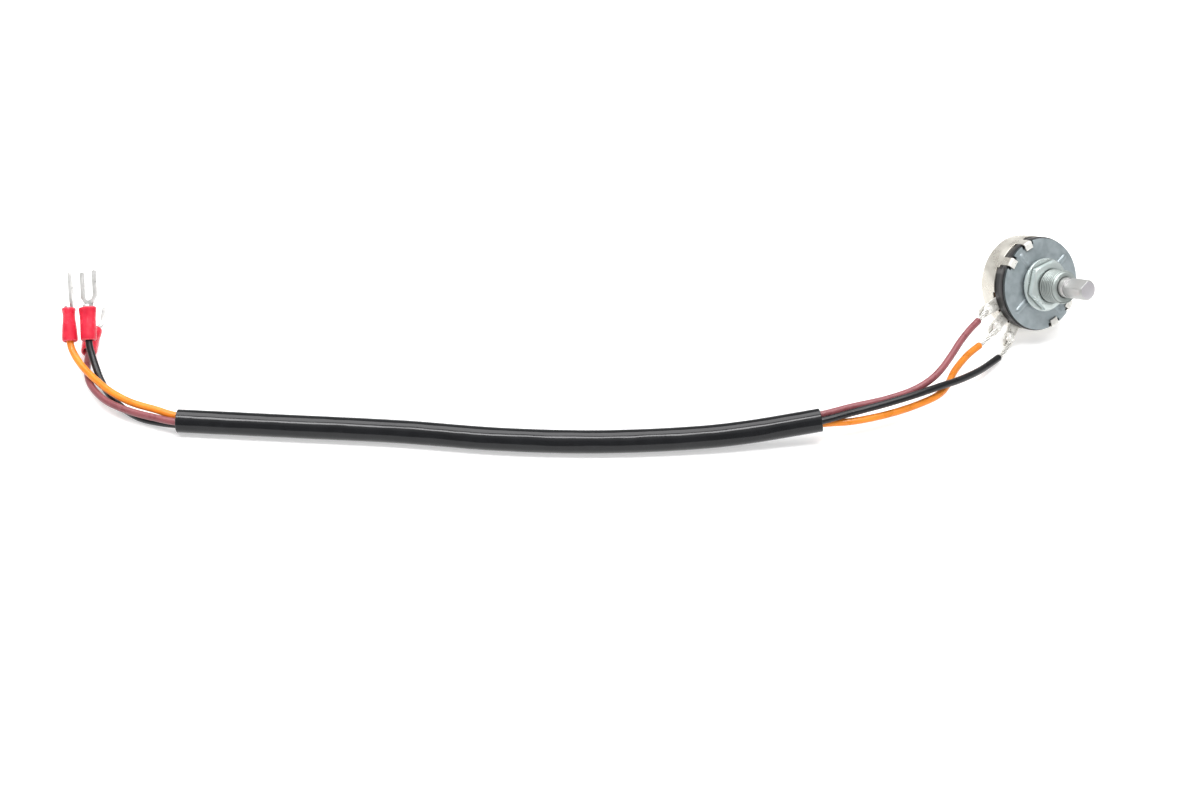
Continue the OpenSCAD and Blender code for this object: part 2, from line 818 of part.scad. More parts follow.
// Spring: a leaf round the hub with one arm to each brush
module wiper_spring() {
    arm_w = 2 * brush_r;
    color(brass) seated()
        translate([0, 0, z_spring - spring_t])
            linear_extrude(spring_t)
                difference() {
                    union() {
                        circle(leaf_r);
                        translate([-arm_w / 2, 0])
                            square([arm_w, track_mid]);
                        translate([0, track_mid])
                            circle(brush_r);
                        translate([-inner_brush_r, -collector_mid])
                            square([2 * inner_brush_r, collector_mid]);
                        translate([0, -collector_mid])
                            circle(inner_brush_r);
                    }
                    circle(hub_r + fit_gap);
                    for (x = [-peg_at, peg_at])
                        translate([x, 0])
                            circle(peg_r + fit_gap);
                }
}

module wiper_brushes() {
    color(carbon) seated() {
        translate([0, track_mid, z_spring])
            cylinder(h = brush_h, r = brush_r);
        translate([0, -collector_mid, z_spring])
            cylinder(h = z_collector - fit_gap - z_spring, r = inner_brush_r);
    }
}

// Sleeve: a plain tube round the three leads
module cable_sleeve() {
    sides = 12;
    outer = rings(sleeve_route, sleeve_d / 2, sides);
    inner = rings(sleeve_route, sleeve_d / 2 - sleeve_wall, sides);
    n = len(outer);
    count = n * sides;
    color(black)
        polyhedron(
            points = concat([for (l = outer) each l], [for (l = inner) each l]),
            faces = [
                for (i = [0:n - 2], k = [0:sides - 1], face = [0:3])
                    let (a = i * sides + k, b = i * sides + (k + 1) % sides)
                    face == 0 ? [a, b, a + sides] :
                    face == 1 ? [b, b + sides, a + sides] :
                    face == 2 ? [count + b, count + a, count + a + sides] :
                    [count + b + sides, count + b, count + a + sides],
                for (k = [0:sides - 1], face = [0:3])
                    let (j = (k + 1) % sides, e = (n - 1) * sides)
                    face == 0 ? [j, k, count + k] :
                    face == 1 ? [j, count + k, count + j] :
                    face == 2 ? [e + k, e + j, count + e + k] :
                    [count + e + k, e + j, count + e + j]
            ]
        );
}

module lead(k) {
    color(lead_colours[k])
        skin(rings(lead_route(k), wire_r, 8));
}

module maroon_wire() lead(0);

module orange_wire() lead(1);

module black_wire() lead(2);

// Bare conductor: hooked through the lug at one end, crimped in the barrel at the other
module conductor(k) {
    color(solder) {
        skin(rings(hook(k), conductor_r, 8));
        at_terminal(k)
            translate([0, 0, wire_depth])
                cylinder(h = barrel_floor - wire_depth - fit_gap, r = conductor_r);
    }
}

module maroon_conductor() conductor(0);

module orange_conductor() conductor(1);

module black_conductor() conductor(2);

// Fork terminal: its barrel is crimped on the conductor, and its tongue, with two prongs,
// goes on from the barrel's wall
module fork_outline() {
    difference() {
        union() {
            translate([-neck_w / 2, tongue_start])
                square([neck_w, shoulder_z - tongue_start]);
            polygon([
                [-neck_w / 2, barrel_end], [neck_w / 2, barrel_end],
                [fork_w / 2, shoulder_z - shoulder_drop], [fork_w / 2, shoulder_z],
                [-fork_w / 2, shoulder_z], [-fork_w / 2, shoulder_z - shoulder_drop]
            ]);
            translate([-fork_w / 2, shoulder_z])
                square([fork_w, terminal_len - prong_w / 2 - shoulder_z]);
            for (s = [-1, 1])
                translate([s * (fork_w - prong_w) / 2, terminal_len - prong_w / 2])
                    circle(prong_w / 2);
        }
        translate([0, shoulder_z])
            circle(slot_w / 2);
        translate([-slot_w / 2, shoulder_z])
            square([slot_w, terminal_len]);
    }
}

module fork(k) {
    color(tin) at_terminal(k)
        difference() {
            union() {
                rotate([90, 0, 0])
                    translate([0, 0, tongue_drop - fork_t / 2])
                        linear_extrude(fork_t)
                            fork_outline();
                translate([0, 0, barrel_start])
                    cylinder(h = barrel_end - barrel_start, r = barrel_d / 2);
            }
            translate([0, 0, barrel_start - over])
                cylinder(h = barrel_floor - barrel_start + over, r = conductor_r + fit_gap / 2);
        }
}

module fork_maroon() fork(0);

module fork_orange() fork(1);

module fork_black() fork(2);

// Insulator: oval tube, pinched by the crimp, open to the lead at its lower end
module insulator(k) {
    sides = 20;
    color(red) at_terminal(k)
        difference() {
            skin([
                for (s = insulator_shape)
                    [
                        for (i = [0:sides - 1])
                            [
                                s[1] * cos(i * 360 / sides), s[2] * sin(i * 360 / sides),
                                s[0] * insulator_len
                            ]
                    ]
            ]);
            translate([0, 0, -over])
                cylinder(h = over + barrel_start, r = mouth_r);
            translate([0, 0, barrel_start - over])
                cylinder(h = insulator_len + 2 * over, r = barrel_d / 2 + fit_gap / 2);
        }
}

module insulator_maroon() insulator(0);

module insulator_orange() insulator(1);

module insulator_black() insulator(2);

back_can();
front_plate();
bushing();
washer();
hex_nut();
phenolic_base();
track_card();
resistance_track();
collector_ring();
lug_rivets();
lug_maroon();
lug_orange();
lug_black();
solder_joints();
shaft();
retaining_ring();
wiper_carrier();
wiper_spring();
wiper_brushes();
cable_sleeve();
maroon_wire();
orange_wire();
black_wire();
maroon_conductor();
orange_conductor();
black_conductor();
fork_maroon();
fork_orange();
fork_black();
insulator_maroon();
insulator_orange();
insulator_black();
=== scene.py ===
import json
import math

import bmesh
import bpy
from mathutils import Matrix, Vector, noise


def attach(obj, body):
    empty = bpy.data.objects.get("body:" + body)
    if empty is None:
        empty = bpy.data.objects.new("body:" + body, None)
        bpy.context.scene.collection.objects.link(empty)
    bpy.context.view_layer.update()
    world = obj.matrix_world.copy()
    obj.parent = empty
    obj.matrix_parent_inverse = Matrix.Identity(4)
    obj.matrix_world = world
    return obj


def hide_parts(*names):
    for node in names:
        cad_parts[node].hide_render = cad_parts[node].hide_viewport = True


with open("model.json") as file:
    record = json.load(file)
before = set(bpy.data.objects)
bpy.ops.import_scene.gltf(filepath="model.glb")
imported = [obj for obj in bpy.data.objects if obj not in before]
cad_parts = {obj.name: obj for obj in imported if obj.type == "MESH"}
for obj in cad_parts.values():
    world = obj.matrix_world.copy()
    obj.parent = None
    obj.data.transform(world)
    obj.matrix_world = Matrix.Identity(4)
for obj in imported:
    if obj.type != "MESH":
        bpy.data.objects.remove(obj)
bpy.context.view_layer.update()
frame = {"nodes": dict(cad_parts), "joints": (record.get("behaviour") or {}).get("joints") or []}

MM = 0.001

# Sizes of the solids that the pieces here repeat, in millimetres, and their turns in degrees
WIRE_D = 2.1
CONDUCTOR_D = 0.9
SLEEVE_D = 6.8
SLEEVE_WALL = 0.5
THREAD_R = 5.0
THREAD_PITCH = 0.75
THREAD_START = 5.1
NUT_START = 2.4
BUSHING_LEN = 11.0
BUSHING_BORE_R = 3.05
FLANGE_R = 6.8
FLANGE_BACK = -2.2
PLATE_BACK = -1.0
INSULATOR_LEN = 10.0
BARREL_D = 2.65
WIRE_DEPTH = 3.8
BARREL_FLOOR = 9.5
EYELET_AT = 17.6
LUG_FRONT = -4.7
LUG_BACK = -5.2
LUG_ANGLES = {"maroon": -110.5, "orange": -90, "black": -69.5}
BODY_TURN = 28

# Camera: a 70 mm lens on a 36 mm wide frame, and the point of the floor that it looks at
VIEW_TURN = math.radians(56.5)
VIEW_RISE = math.radians(40)
VIEW_DISTANCE = 0.6816
VIEW_AIM = Vector((-0.0468, -0.1246, 0))
LENS_MM = 70
FRAME_WIDTH_MM = 36

# Studio: middles of the bright floor and of the lamps, in metres
FLOOR_MIDDLE = (-0.05, -0.15, 0)
LAMP_MIDDLE = Vector((-0.05, -0.17, 0))
FLOOR_HALF = 3
FLOOR_DROP = 0.0002
# How bright the floor is: its paper, the glow that the camera adds, and in reflections near and far
PAPER = 0.8
FLOOR_GLOW = 0.4
FLOOR_MIRRORED = (1.2, 0.4)
# How bright the room is: its fill, and its walls and ceiling in reflections
WORLD_FILL = 0.55
ROOM_DIM = 0.3
ROOM_PALE = 0.65
CEILING = 0.3
# Each lamp's edges nearer to and further from the camera, its length across and its height, in
# metres, then its radiance and whether metal mirrors it
LAMPS = {
    "overhead_near": (0.27, 0.02, 1.4, 1.1, 9.0, True),
    "overhead_far": (-0.2, -1.15, 1.4, 1.1, 3.0, True),
    "front": (1.5, 0.7, 1.2, 1.0, 0.9, False),
}

# Cut ends of plastic, in millimetres: how far they are rounded, and where the rounding's middle lies
WIRE_EDGE = 0.12
SLEEVE_EDGE = 0.15
INSULATOR_EDGE = 0.25
EDGE_MIDDLE = 0.3
CORE_INSET = 0.3

# Strands, in millimetres: their radius, the ring that they lie on, how far one is bare before it
# bends to the lug, how far out from the eyelet it lies flat and its gap from the lug
STRAND_R = 0.23
STRAND_RING_R = 0.45
STRAND_BARE = 0.8
STRAND_REACH = 2.1
STRAND_GAP = 0.05
# Their twist in radians a metre, and how much wider the bundle is at each curve's middle
STRAND_TWIST = 420.0
STRAND_LOOSENESS = 1.0

# Solder, in millimetres: the size of its mesh, how far it swells, and its ripples' sizes and heights
SOLDER_MESH = 0.14
SOLDER_SWELL = 0.42
WAVE_SIZE, WAVE_HEIGHT = 0.9, 0.5
GRAIN_SIZE, GRAIN_HEIGHT = 0.35, 0.1

# Bushing's end: the chamfers of its thread and of its bore, in millimetres
THREAD_CHAMFER = 0.4
BORE_CHAMFER = 0.15

# Route of the sleeve, from the potentiometer to the terminals
SLEEVE_ROUTE = [
    (2, -81.5, 6.8), (-2, -89.5, 5.7), (-7, -100, 4.6), (-13.5, -112.5, 3.8), (-28, -137, 3.4),
    (-44.5, -160, 3.4), (-63, -182, 3.4), (-82, -206.5, 3.4), (-102.5, -233, 3.4),
]

# Each lead's route from its lug to the sleeve and from the sleeve to its terminal, then the
# terminal's place, heading, rise and roll, and the lead's place in the bundle, in degrees
LEADS = {
    "maroon": {
        "colour": "#97555A",
        "from_lug": [
            (-3.8, -18.6, 11.7), (-2.3, -23, 11.4), (0, -28.5, 10.9), (3.2, -35, 10), (5.8, -41, 9.2),
            (7, -46, 8.5), (7, -51.5, 7.7), (5.8, -60, 7.4), (2.8, -71.5, 7.4),
        ],
        "to_terminal": [
            (-107, -238, 3.8), (-112, -241.4, 3.5), (-117, -244.3, 3.4), (-122.3, -246.3, 3.2),
            (-127.5, -247, 3), (-132.5, -246.8, 2.8), (-137.7, -245.4, 2.7), (-142.5, -243.2, 2.7),
        ],
        "terminal": ((-146.5, -241, 2.7), 149.5, 3, 90),
        "bundle_angle": 30,
    },
    "orange": {
        "colour": "#FF9428",
        "from_lug": [
            (-0.5, -20, 5.2), (0.3, -24, 5), (1.6, -28, 4.8), (4.4, -34, 4.7), (8, -39.5, 4.7),
            (10, -44.5, 4.7), (10.3, -51, 4.8), (9.2, -61, 4.9), (6.2, -72.8, 5.2),
        ],
        "to_terminal": [
            (-109.4, -236.5, 4.4), (-116.5, -241.2, 4.5), (-124, -244.1, 4.7), (-130.3, -245.4, 4.9),
            (-136.5, -246.2, 5.1), (-140.3, -246.4, 5.5), (-143, -246.4, 6.1), (-145.2, -246.3, 7.1),
        ],
        "terminal": ((-147, -245.9, 8.5), 152, 42, 0),
        "bundle_angle": -90,
    },
    "black": {
        "colour": "#17171A",
        "from_lug": [
            (4, -16, 1.8), (5.2, -20.5, 2.2), (7, -26.5, 3.4), (9, -35.5, 5.6),
            (9.9, -44, 7.6), (9.6, -53.3, 8.4), (8, -62, 8.2), (5.5, -72, 7.8),
        ],
        "to_terminal": [
            (-107.7, -237.4, 1.3), (-112, -240.4, 1.1), (-117, -242.3, 1.1), (-122.7, -243.3, 1.1),
            (-128, -243.6, 1.4), (-133, -243.3, 2.4), (-136.6, -242.8, 3.9), (-139.8, -242.3, 5.9),
            (-142, -241.9, 7.6),
        ],
        "terminal": ((-143.7, -241.3, 9.1), 152, 42, 58),
        "bundle_angle": 150,
    },
}
BUNDLE_R = 1.5
BUNDLE_TWIST = 120

scene = bpy.context.scene


def srgb(code):
    """A colour written as sRGB hex, as linear red, green, blue and alpha."""
    parts = [int(code[i:i + 2], 16) / 255 for i in (1, 3, 5)]
    return tuple(v / 12.92 if v <= 0.04045 else ((v + 0.055) / 1.055) ** 2.4 for v in parts) + (1,)


def per_mm(size):
    """Scale of a texture on Object coordinates whose features are that many millimetres."""
    return 1 / (size * MM)


def add(tree, kind, inputs=None, **settings):
    """Adds a node with its settings; each input is a value or the socket that feeds it."""
    node = tree.nodes.new(kind)
    for key, value in settings.items():
        setattr(node, key, value)
    for key, value in (inputs or {}).items():
        if isinstance(value, bpy.types.NodeSocket):
            tree.links.new(value, node.inputs[key])
        else:
            node.inputs[key].default_value = value
    return node


# Camera
def place_camera():
    back = Vector((
        math.sin(VIEW_TURN) * math.cos(VIEW_RISE), -math.cos(VIEW_TURN) * math.cos(VIEW_RISE),
        math.sin(VIEW_RISE),
    ))
    data = bpy.data.cameras.new("camera")
    data.lens = LENS_MM
    data.sensor_fit = "HORIZONTAL"
    data.sensor_width = FRAME_WIDTH_MM
    data.clip_start = 0.01
    camera = bpy.data.objects.new("camera", data)
    scene.collection.objects.link(camera)
    camera.location = VIEW_AIM + back * VIEW_DISTANCE
    camera.rotation_euler = back.to_track_quat("Z", "Y").to_euler()
    scene.camera = camera


# Paths
def route_step(points, i):
    """Direction of a route at one of its points, as the solids' own sweep takes it."""
    return (points[min(i + 1, len(points) - 1)] - points[max(i - 1, 0)]).normalized()


def bundle_path(start_angle):
    """Path of one lead inside the sleeve: the three lie in a triangle that turns by a third."""
    points = [Vector(p) for p in SLEEVE_ROUTE]
    path = []
    for i, point in enumerate(points):
        way = route_step(points, i)
        level = way.cross(Vector((0, 0, 1))).normalized()
        rise = level.cross(way)
        angle = math.radians(start_angle + BUNDLE_TWIST * i / (len(points) - 1))
        path.append(point + BUNDLE_R * (math.cos(angle) * level + math.sin(angle) * rise))
    return path


def terminal_matrix(lead):
    """Where a terminal's own frame lies: its +Z runs from the wire to the fork."""
    base, heading, rise, roll = LEADS[lead]["terminal"]
    turn = Matrix.Rotation(math.radians(heading), 4, "Z")
    turn = turn @ Matrix.Rotation(math.radians(90 - rise), 4, "Y")
    return Matrix.Translation(Vector(base) * MM) @ turn @ Matrix.Rotation(math.radians(roll), 4, "Z")


def lead_path(lead):
    """All points of a lead in metres, from its lug to inside its terminal."""
    data = LEADS[lead]
    points = [Vector(p) for p in data["from_lug"]] + bundle_path(data["bundle_angle"])
    points += [Vector(p) for p in data["to_terminal"]]
    place = terminal_matrix(lead)
    return [p * MM for p in points] + [place @ Vector((0, 0, z * MM)) for z in (0, WIRE_DEPTH)]


def smooth(points, step):
    """A curve through the points, at about even steps: centripetal Catmull-Rom."""
    ends = [2 * points[0] - points[1]] + list(points) + [2 * points[-1] - points[-2]]
    path = []
    for a, b, c, d in zip(ends, ends[1:], ends[2:], ends[3:]):
        t1 = (b - a).length ** 0.5
        t2 = t1 + (c - b).length ** 0.5
        t3 = t2 + (d - c).length ** 0.5
        count = max(1, round((c - b).length / step))
        for i in range(count):
            t = t1 + (t2 - t1) * i / count
            ab = a * ((t1 - t) / t1) + b * (t / t1)
            bc = b * ((t2 - t) / (t2 - t1)) + c * ((t - t1) / (t2 - t1))
            cd = c * ((t3 - t) / (t3 - t2)) + d * ((t - t2) / (t3 - t2))
            abc = ab * ((t2 - t) / t2) + bc * (t / t2)
            bcd = bc * ((t3 - t) / (t3 - t1)) + cd * ((t - t1) / (t3 - t1))
            path.append(abc * ((t2 - t) / (t2 - t1)) + bcd * ((t - t1) / (t2 - t1)))
    return path + [points[-1].copy()]


def path_frames(path):
    """A side and an up direction at each point, carried along without twist."""
    way = (path[1] - path[0]).normalized()
    side = way.cross(Vector((0, 0, 1))).normalized()
    frames = []
    for i in range(len(path)):
        way = route_step(path, i)
        side = (side - way * side.dot(way)).normalized()
        frames.append((side, side.cross(way)))
    return frames


# Mesh helpers
def new_piece(name, mesh, material=None):
    piece = bpy.data.objects.new(name, mesh)
    scene.collection.objects.link(piece)
    if material:
        mesh.materials.clear()
        mesh.materials.append(material)
    return piece


def finish_mesh(bm, name, sharp=40):
    """Turns a bmesh into a mesh that is smooth except at its sharp edges."""
    bmesh.ops.recalc_face_normals(bm, faces=bm.faces)
    for face in bm.faces:
        face.smooth = True
    mesh = bpy.data.meshes.new(name)
    bm.to_mesh(mesh)
    bm.free()
    mesh.set_sharp_from_angle(angle=math.radians(sharp))
    return mesh


def baked(piece):
    """What a piece's modifiers make of it, as its mesh; a curve becomes a mesh piece."""
    seen = piece.evaluated_get(bpy.context.evaluated_depsgraph_get())
    mesh = bpy.data.meshes.new_from_object(seen)
    piece.modifiers.clear()
    if piece.type == "MESH":
        piece.data = mesh
        return piece
    name = piece.name
    bpy.data.objects.remove(piece)
    return new_piece(name, mesh)


def tube(name, path, profile, sides, material):
    """Sweeps rings along a path. Its ends are closed, unless the last ring is the first one again.

    profile gives each ring's point on the path, its shift along the path from there and its radius.
    The UV map holds the millimetres along the tube and the share of a turn round it.
    """
    frames = path_frames(path)
    lengths = [0]
    for a, b in zip(path, path[1:]):
        lengths.append(lengths[-1] + (b - a).length / MM)
    bm = bmesh.new()
    uv = bm.loops.layers.uv.new("along")
    rings = []
    for index, shift, radius in profile:
        way = route_step(path, index)
        side, up = frames[index]
        centre = path[index] + way * shift
        rings.append([
            bm.verts.new(centre + radius * (math.cos(a) * side + math.sin(a) * up))
            for a in (2 * math.pi * k / sides for k in range(sides))
        ])
    for (i0, s0, r0), (i1, s1, r1), low, high in zip(profile, profile[1:], rings, rings[1:]):
        for k in range(sides):
            j = (k + 1) % sides
            face = bm.faces.new((low[k], low[j], high[j], high[k]))
            face.smooth = True
            marks = ((lengths[i0], k), (lengths[i0], k + 1), (lengths[i1], k + 1), (lengths[i1], k))
            for loop, (far, turn) in zip(face.loops, marks):
                loop[uv].uv = (far, turn / sides)
    if profile[0] != profile[-1]:
        bm.faces.new(list(reversed(rings[0])))
        bm.faces.new(rings[-1])
    else:
        bmesh.ops.remove_doubles(bm, verts=rings[0] + rings[-1], dist=1e-7)
    return new_piece(name, finish_mesh(bm, name), material)


def wire_profile(path):
    """Rings of a lead's insulation: cut ends with a slightly rounded edge round the conductor."""
    last = len(path) - 1
    r, core, edge = WIRE_D / 2 * MM, CONDUCTOR_D / 2 * MM, WIRE_EDGE * MM
    middle = EDGE_MIDDLE * edge
    start = [
        (0, CORE_INSET * MM, core), (0, 0, core), (0, 0, r - edge), (0, middle, r - middle), (0, edge, r)]
    end = [(last, -edge, r), (last, -middle, r - middle), (last, 0, r - edge), (last, 0, core)]
    return start + [(i, 0, r) for i in range(1, last)] + end


def sleeve_profile(path):
    """Rings of the sleeve: outer wall, rounded cut end, inner wall and the other cut end."""
    last = len(path) - 1
    r, bore, edge = SLEEVE_D / 2 * MM, (SLEEVE_D / 2 - SLEEVE_WALL) * MM, SLEEVE_EDGE * MM
    outer = [(0, 0, r - edge), (0, edge, r)] + [(i, 0, r) for i in range(1, last)] + [
        (last, -edge, r), (last, 0, r - edge)]
    inner = [(last, 0, bore)] + [(i, 0, bore) for i in range(last - 1, 0, -1)] + [(0, 0, bore)]
    return outer + inner + [outer[0]]


def softened(node, name, width, material, sharp=35):
    """A copy of a CAD node's mesh with rounded edges, as plating and tumbling leave them."""
    bm = bmesh.new()
    bm.from_mesh(frame["nodes"][node].data)
    bmesh.ops.remove_doubles(bm, verts=bm.verts, dist=1e-6)
    bmesh.ops.dissolve_limit(bm, angle_limit=math.radians(0.5), verts=bm.verts, edges=bm.edges)
    for face in bm.faces:
        face.smooth = True
    mesh = bpy.data.meshes.new(name)
    bm.to_mesh(mesh)
    bm.free()
    piece = new_piece(name, mesh, material)
    bevel = piece.modifiers.new("rounded edges", "BEVEL")
    bevel.width = width * MM
    bevel.segments = 2
    bevel.limit_method = "ANGLE"
    bevel.angle_limit = math.radians(sharp)
    baked(piece)
    piece.data.set_sharp_from_angle(angle=math.radians(sharp))
    return piece


# Materials
def new_material(name):
    material = bpy.data.materials.new(name)
    material.use_nodes = True
    material.node_tree.nodes.clear()
    return material, material.node_tree


def put_out(tree, shader):
    add(tree, "ShaderNodeOutputMaterial", {"Surface": shader})


def mix_colours(tree, share, a, b):
    """Colour a where the share is 0 and b where it is 1; each is sRGB hex or a socket."""
    node = add(tree, "ShaderNodeMix", {0: share}, data_type="RGBA")
    for socket, colour in ((node.inputs[6], a), (node.inputs[7], b)):
        if isinstance(colour, str):
            socket.default_value = srgb(colour)
        else:
            tree.links.new(colour, socket)
    return node.outputs[2]


def cloudy(tree, where, size_mm, detail=3.0):
    return add(tree, "ShaderNodeTexNoise", {
        "Vector": where, "Scale": per_mm(size_mm), "Detail": detail}).outputs["Fac"]


def spread(tree, value, low, high, to_low=0.0, to_high=1.0):
    """A value between low and high, spread over another range and held at its ends."""
    return add(tree, "ShaderNodeMapRange", {
        "Value": value, "From Min": low, "From Max": high, "To Min": to_low, "To Max": to_high,
    }).outputs["Result"]


def by_shaft(tree):
    """Place in the shaft's own frame, in metres."""
    where = add(tree, "ShaderNodeTexCoord").outputs["Object"]
    return add(tree, "ShaderNodeMapping", {
        "Vector": where, "Location": shaft_place.translation,
        "Rotation": shaft_place.to_euler()}, vector_type="TEXTURE").outputs["Vector"]


def height_on_shaft(tree):
    """Height along the shaft above the front plate's face, in millimetres."""
    height = add(tree, "ShaderNodeSeparateXYZ", {"Vector": by_shaft(tree)}).outputs["Z"]
    return add(tree, "ShaderNodeMath", {0: height, 1: 1 / MM}, operation="MULTIPLY").outputs[0]


def facing_front(tree):
    """How squarely the surface looks along the shaft, from 0 at its side to 1."""
    normal = add(tree, "ShaderNodeNewGeometry").outputs["Normal"]
    turn = add(tree, "ShaderNodeVectorMath", {0: normal, 1: shaft_way}, operation="DOT_PRODUCT")
    return add(tree, "ShaderNodeMath", {0: turn.outputs["Value"]}, operation="ABSOLUTE").outputs[0]


def shaded_in_corners(tree, colour, reach_mm, dark):
    """The colour painted darker in each corner and gap, as shade where little light comes."""
    corner = add(tree, "ShaderNodeAmbientOcclusion", {"Distance": reach_mm * MM}, samples=16)
    return mix_colours(tree, spread(tree, corner.outputs["AO"], 0.35, 0.95), dark, colour)


def plated_sheet(name, tint, shade, roughness, mottle_mm, grain_mm, relief, metal=0.6,
                 corner_shade="#5A5C5C", reach_mm=1.5, above=None, rim_shade=None):
    """Plated metal: a cloudy coat whose gloss varies a little and whose grain breaks highlights.

    The painted shade in each corner and gap and reach_mm, how far it reaches; above, a height on
    the shaft and the paler, duller colour past it; and the painted shade at cut edges, on faces
    turned across the shaft.
    """
    material, tree = new_material(name)
    where = add(tree, "ShaderNodeTexCoord").outputs["Object"]
    cloud = cloudy(tree, where, mottle_mm)
    patch = spread(tree, cloud, 0.35, 0.65)
    colour = mix_colours(tree, patch, shade, tint)
    rough = spread(tree, cloud, 0.3, 0.7, roughness * 0.75, roughness * 1.25)
    metallic = metal
    if above:
        past = spread(tree, height_on_shaft(tree), above[0] - 0.3, above[0] + 0.3)
        colour = mix_colours(tree, past, colour, above[1])
        metallic = spread(tree, past, 0, 1, metal, 0.25)
    # Faces turned across the shaft, as at the plate's cut edge, painted darker as shade
    if rim_shade:
        colour = mix_colours(tree, spread(tree, facing_front(tree), 0.35, 0.6), rim_shade, colour)
    bump = add(tree, "ShaderNodeBump", {
        "Height": cloudy(tree, where, grain_mm, 2.0), "Strength": relief, "Distance": 0.02 * MM})
    # Each corner and gap painted darker, as shade
    shader = add(tree, "ShaderNodeBsdfPrincipled", {
        "Base Color": shaded_in_corners(tree, colour, reach_mm, corner_shade), "Metallic": metallic,
        "Roughness": rough, "Normal": bump.outputs["Normal"]})
    put_out(tree, shader.outputs["BSDF"])
    return material


def turned_steel(name, tint, shade, pitch_mm, roughness, tip_light=None):
    """Turned metal: fine rings round the axis from the tool, a little darker between them.

    The last argument gives painted light: a paler colour on faces that look along the shaft.
    """
    material, tree = new_material(name)
    drawn_out = add(tree, "ShaderNodeMapping", {"Vector": by_shaft(tree), "Scale": (0.06, 0.06, 1.0)})
    rings = cloudy(tree, drawn_out.outputs["Vector"], pitch_mm)
    colour = mix_colours(tree, rings, shade, tint)
    # Faces that look along the shaft painted paler, as light on the faced end
    if tip_light:
        colour = mix_colours(tree, spread(tree, facing_front(tree), 0.8, 0.95), colour, tip_light)
    bump = add(tree, "ShaderNodeBump", {"Height": rings, "Strength": 0.35, "Distance": 0.03 * MM})
    # Each corner and gap painted darker, as shade
    shader = add(tree, "ShaderNodeBsdfPrincipled", {
        "Base Color": shaded_in_corners(tree, colour, 1, "#6C706E"), "Metallic": 0.6, "Roughness": roughness,
        "Normal": bump.outputs["Normal"]})
    put_out(tree, shader.outputs["BSDF"])
    return material


def moulded(name, tint, shade, roughness, grain_mm, relief, translucence=0.0, edge=None):
    """Moulded or pressed plastic: an almost even colour with a faint uneven gloss.

    edge gives a painted highlight: a paler colour on its sharp edges.
    """
    material, tree = new_material(name)
    where = add(tree, "ShaderNodeTexCoord").outputs["Object"]
    cloud = cloudy(tree, where, grain_mm * 6)
    colour = mix_colours(tree, spread(tree, cloud, 0.35, 0.65), shade, tint)
    # Sharp edges painted paler, as highlight
    if edge:
        edge_highlight = add(tree, "ShaderNodeNewGeometry").outputs["Pointiness"]
        colour = mix_colours(tree, spread(tree, edge_highlight, 0.52, 0.6), colour, edge)
    bump = add(tree, "ShaderNodeBump", {
        "Height": cloudy(tree, where, grain_mm, 2.0), "Strength": relief, "Distance": 0.05 * MM})
    shader = add(tree, "ShaderNodeBsdfPrincipled", {
        "Base Color": colour, "IOR": 1.5, "Normal": bump.outputs["Normal"],
        "Roughness": spread(tree, cloud, 0.3, 0.7, roughness * 0.8, roughness * 1.2)})
    if translucence:
        shader.inputs["Subsurface Weight"].default_value = translucence
        shader.inputs["Subsurface Radius"].default_value = (1.0, 0.25, 0.2)
        shader.inputs["Subsurface Scale"].default_value = 1.2 * MM
    put_out(tree, shader.outputs["BSDF"])
    return material


def extruded(name, tint, shade, roughness, streak_mm, relief, swell=0.0):
    """Extruded plastic on a lead or sleeve: long faint die lines, and swells where it shrank."""
    material, tree = new_material(name)
    along = add(tree, "ShaderNodeUVMap", uv_map="along").outputs["UV"]
    lines = add(tree, "ShaderNodeMapping", {"Vector": along, "Scale": (1 / streak_mm, 14.0, 1.0)})
    die = add(tree, "ShaderNodeTexNoise", {
        "Vector": lines.outputs["Vector"], "Scale": 1.0, "Detail": 2.0}, noise_dimensions="2D")
    where = add(tree, "ShaderNodeTexCoord").outputs["Object"]
    cloud = cloudy(tree, where, 5, 2.0)
    colour = mix_colours(tree, spread(tree, cloud, 0.35, 0.65), shade, tint)
    fine = add(tree, "ShaderNodeBump", {
        "Height": die.outputs["Fac"], "Strength": relief, "Distance": 0.15 * MM})
    slow = add(tree, "ShaderNodeBump", {
        "Height": cloudy(tree, where, 9, 1.0), "Strength": swell, "Distance": 1.2 * MM,
        "Normal": fine.outputs["Normal"]})
    shader = add(tree, "ShaderNodeBsdfPrincipled", {
        "Base Color": colour, "IOR": 1.5, "Normal": slow.outputs["Normal"],
        "Roughness": spread(tree, cloud, 0.3, 0.7, roughness * 0.85, roughness * 1.15)})
    put_out(tree, shader.outputs["BSDF"])
    return material


# Geometry Nodes
def new_tree(name, sizes):
    """A tree with a geometry in and out, a size input for each name, and a material input."""
    tree = bpy.data.node_groups.new(name, "GeometryNodeTree")
    tree.interface.new_socket("Geometry", in_out="INPUT", socket_type="NodeSocketGeometry")
    for size in sizes:
        tree.interface.new_socket(size, in_out="INPUT", socket_type="NodeSocketFloat")
    tree.interface.new_socket("Material", in_out="INPUT", socket_type="NodeSocketMaterial")
    tree.interface.new_socket("Geometry", in_out="OUTPUT", socket_type="NodeSocketGeometry")
    return tree, add(tree, "NodeGroupInput").outputs


def use_tree(piece, tree, values):
    """Puts a tree on a piece, sets its inputs by their identifiers and bakes the result."""
    modifier = piece.modifiers.new(tree.name, "NODES")
    modifier.node_group = tree
    for item in tree.interface.items_tree:
        if item.in_out == "INPUT" and item.name in values:
            modifier[item.identifier] = values[item.name]
    return baked(piece)


def close_tree(tree, geometry, material):
    """Ends a tree: instances made real, then the material."""
    real = add(tree, "GeometryNodeRealizeInstances", {"Geometry": geometry})
    dressed = add(tree, "GeometryNodeSetMaterial", {
        "Geometry": real.outputs[0], "Material": material})
    add(tree, "NodeGroupOutput", {"Geometry": dressed.outputs[0]})


